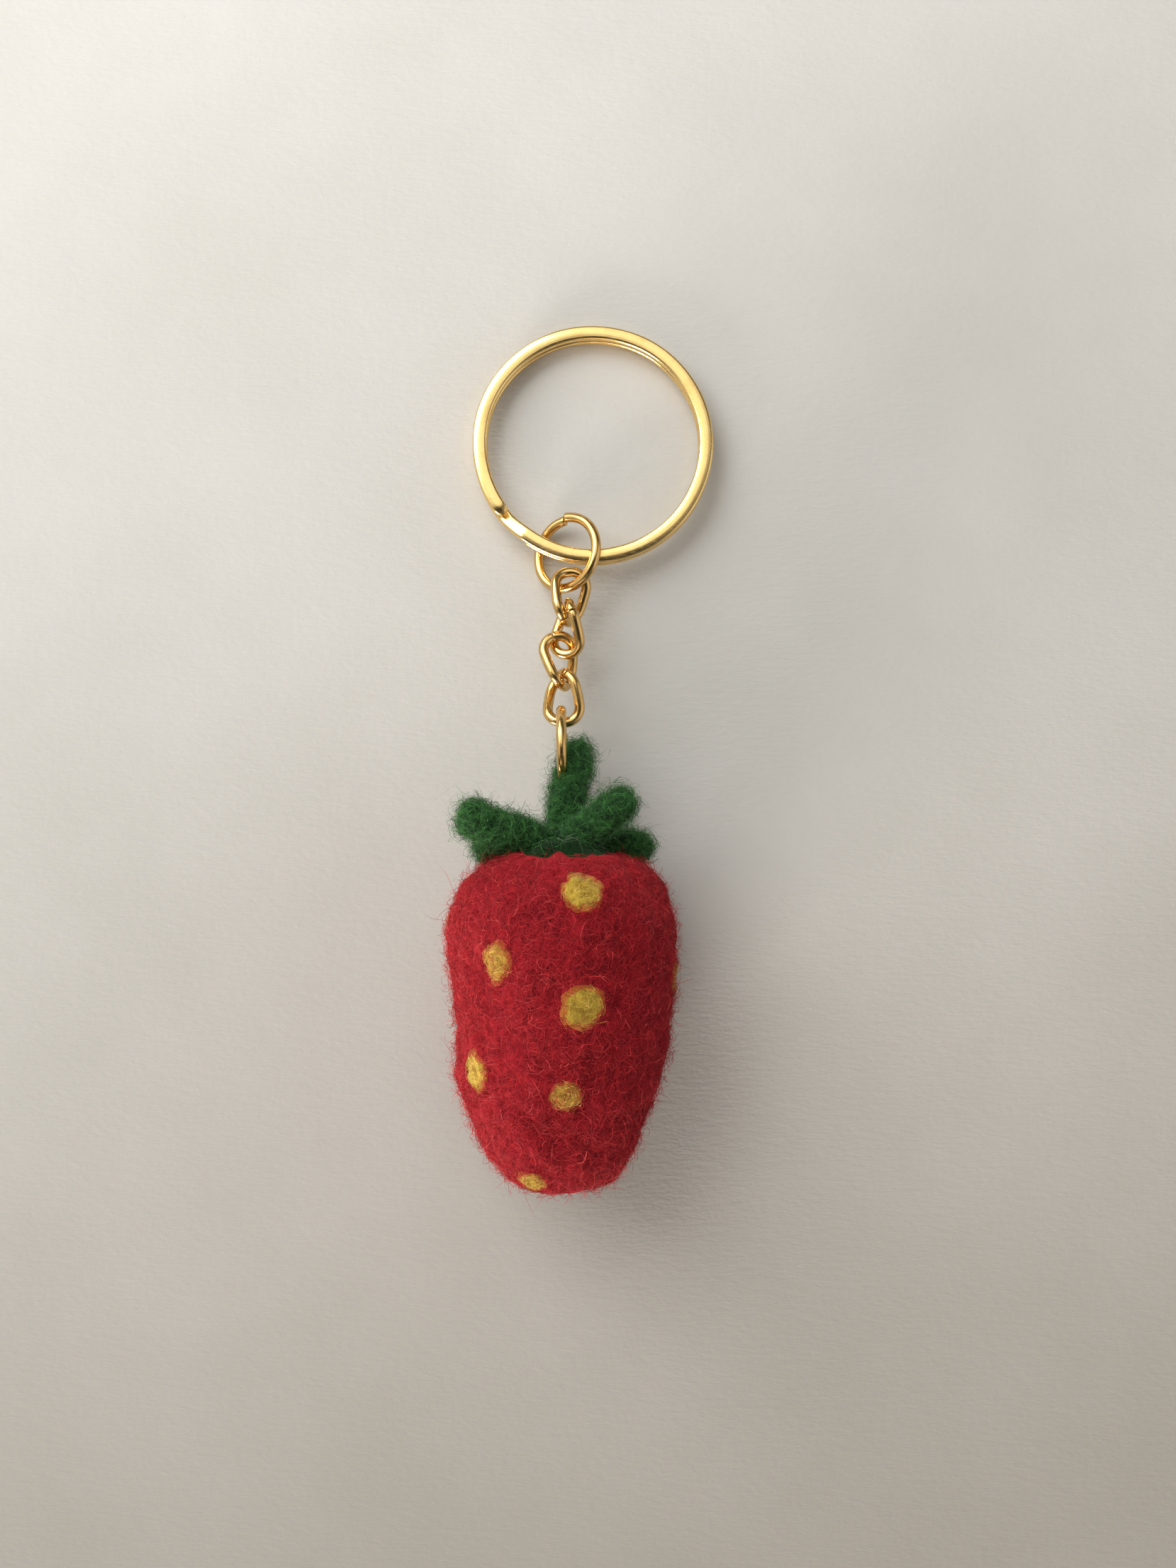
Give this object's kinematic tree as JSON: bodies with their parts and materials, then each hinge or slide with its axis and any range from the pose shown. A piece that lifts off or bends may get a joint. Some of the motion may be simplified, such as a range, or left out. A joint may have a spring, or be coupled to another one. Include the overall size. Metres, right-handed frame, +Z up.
{
  "type": "plush keychain",
  "caption": "Small felted-wool strawberry charm with a green leafy cap, hung from a short curb chain and a flat-wire split ring for keys.",
  "frame": {"origin": "on the table, under the centre of the bounding box of the piece lying flat", "axes": "+Y from the berry's tip towards the split ring, +X to the right seen from above with the split ring at the top, +Z up from the table"},
  "size_m": [0.0265, 0.0871, 0.0215],
  "materials": {
    "gold": "polished gold-toned plating",
    "red_wool": "needle-felted wool",
    "yellow_wool": "needle-felted wool",
    "green_wool": "needle-felted wool",
    "core_wool": "undyed core wool"
  },
  "bodies": {
    "berry": {"berry_core": "core_wool", "berry_skin": "red_wool", "calyx_cap": "green_wool", "stem": "green_wool", "leaf_1": "green_wool", "leaf_2": "green_wool", "leaf_3": "green_wool", "leaf_4": "green_wool", "dot_01": "yellow_wool", "dot_02": "yellow_wool", "dot_03": "yellow_wool", "dot_04": "yellow_wool", "dot_05": "yellow_wool", "dot_06": "yellow_wool", "dot_07": "yellow_wool", "dot_08": "yellow_wool", "dot_09": "yellow_wool", "dot_10": "yellow_wool", "dot_11": "yellow_wool", "dot_12": "yellow_wool"},
    "ring_lower": {"jump_ring_lower": "gold"},
    "link_4": {"chain_link_4": "gold"},
    "link_3": {"chain_link_3": "gold"},
    "link_2": {"chain_link_2": "gold"},
    "link_1": {"chain_link_1": "gold"},
    "ring_upper": {"jump_ring_upper": "gold"},
    "ring_split": {"split_ring": "gold"}
  },
  "joints": [
    {"name": "stem_swing", "type": "hinge", "parent": "berry", "child": "ring_lower", "pos_m": [-0.0023, -0.00333, 0.0065], "axis": [0, 0, 1], "range_deg": [-20, 20]},
    {"name": "link_4_lift", "type": "hinge", "parent": "ring_lower", "child": "link_4", "pos_m": [-0.00239, -0.00008, 0.00649], "axis": [0.9997, 0.0244, 0], "range_deg": [0, 45]},
    {"name": "link_3_swing", "type": "hinge", "parent": "link_4", "child": "link_3", "pos_m": [-0.00277, 0.00633, 0.00506], "axis": [-0.61, 0.14, 0.78], "range_deg": [-25, 25]},
    {"name": "link_2_lift", "type": "hinge", "parent": "link_3", "child": "link_2", "pos_m": [-0.0016, 0.01003, 0.0032], "axis": [0.6598, -0.6298, -0.4099], "range_deg": [0, 30]},
    {"name": "link_1_swing", "type": "hinge", "parent": "link_2", "child": "link_1", "pos_m": [-0.00238, 0.01385, 0.00263], "axis": [0.8211, 0.3505, 0.4506], "range_deg": [-20, 20]},
    {"name": "ring_lift", "type": "hinge", "parent": "link_1", "child": "ring_upper", "pos_m": [-0.00059, 0.01693, 0.00432], "axis": [0.8989, 0.1798, 0.3995], "range_deg": [0, 30]},
    {"name": "split_ring_spin", "type": "hinge", "parent": "ring_upper", "child": "ring_split", "pos_m": [0.0007, 0.03145, 0.00168], "axis": [0, 0.0506, 0.9987], "continuous": true}
  ]
}
